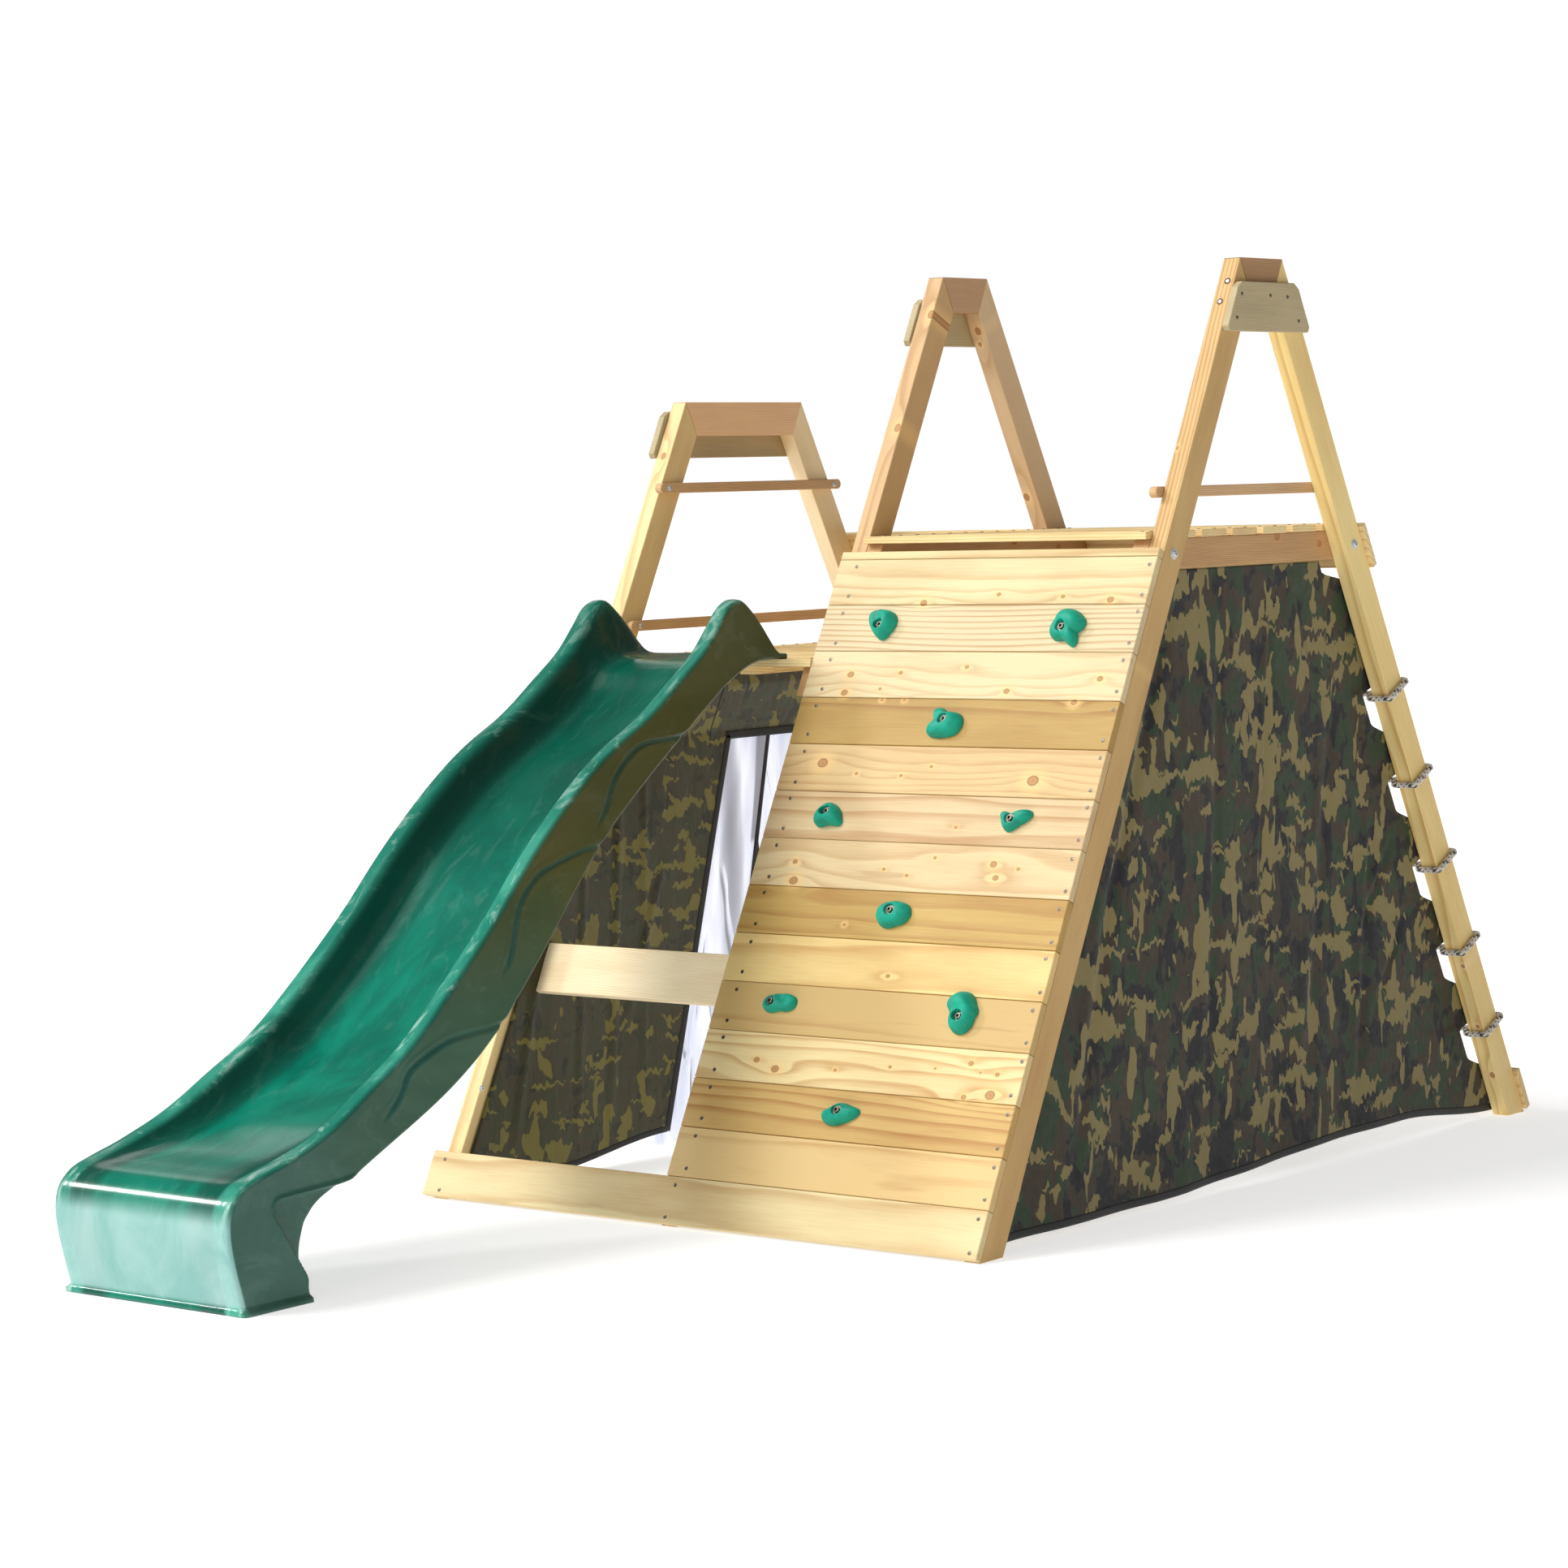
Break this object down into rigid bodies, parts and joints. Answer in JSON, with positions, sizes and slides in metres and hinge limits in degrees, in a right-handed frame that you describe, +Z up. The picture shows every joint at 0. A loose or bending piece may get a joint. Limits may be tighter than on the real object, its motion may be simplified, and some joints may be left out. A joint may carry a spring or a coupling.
{
  "type": "climbing wall play frame",
  "caption": "Wooden A-frame climbing wall with bolted hand holds, a raised play deck, a lower deck with a wavy slide, a rope climbing net and a hanging tarpaulin den.",
  "frame": {"origin": "centre of the footprint at ground level", "axes": "+Z up, +Y from the slide foot towards the rope net, +X from the slide side towards the climbing wall's free side"},
  "size_m": [1.5563, 3.469, 2.04],
  "materials": {
    "pale_pine": "planed, clear",
    "tan_pine": "planed, clear",
    "grey_pine": "planed, weathered tint",
    "green_plastic": "moulded, semi-gloss with faint marbling",
    "hold_plastic": "moulded, satin",
    "tarpaulin": "coated cloth in a camouflage print",
    "netting": "thin pale cloth with dark bound edges",
    "rope": "twisted grey-white rope"
  },
  "bodies": {
    "root": {"back_leg_left": "pale_pine", "back_leg_middle": "pale_pine", "back_leg_right": "pale_pine", "bay_board": "pale_pine", "cargo_net": "rope", "curtain_front": "netting", "curtain_rear": "netting", "deck_board_rear": "tan_pine", "front_leg_left": "pale_pine", "front_leg_middle": "pale_pine", "front_leg_right": "pale_pine", "gusset_left": "grey_pine", "gusset_middle": "grey_pine", "gusset_right": "grey_pine", "hold_bean": "hold_plastic", "hold_leaf": "hold_plastic", "hold_mitten": "hold_plastic", "hold_pebble": "hold_plastic", "hold_saddle": "hold_plastic", "hold_shelf": "hold_plastic", "hold_trefoil": "hold_plastic", "hold_waist": "hold_plastic", "hold_wedge": "hold_plastic", "kick_board_front": "pale_pine", "kick_board_rear": "tan_pine", "lower_beam_left": "tan_pine", "lower_beam_middle": "tan_pine", "lower_deck": "pale_pine", "rung_left_lower": "tan_pine", "rung_left_upper": "tan_pine", "rung_right": "tan_pine", "slide": "green_plastic", "tarpaulin_left": "tarpaulin", "tarpaulin_right": "tarpaulin", "top_block_left": "tan_pine", "top_block_middle": "tan_pine", "top_block_right": "tan_pine", "upper_beam_middle": "tan_pine", "upper_beam_right": "tan_pine", "upper_slat_1": "pale_pine", "upper_slat_2": "tan_pine", "upper_slat_3": "tan_pine", "upper_slat_4": "tan_pine", "upper_slat_5": "tan_pine", "upper_slat_6": "tan_pine", "upper_slat_7": "tan_pine", "wall_board_01": "pale_pine", "wall_board_02": "pale_pine", "wall_board_03": "pale_pine", "wall_board_04": "pale_pine", "wall_board_05": "pale_pine", "wall_board_06": "pale_pine", "wall_board_07": "pale_pine", "wall_board_08": "pale_pine", "wall_board_09": "pale_pine", "wall_board_10": "pale_pine", "wall_board_11": "pale_pine", "wall_board_12": "pale_pine", "wall_board_13": "pale_pine", "wall_top_strip": "pale_pine"}
  },
  "joints": []
}
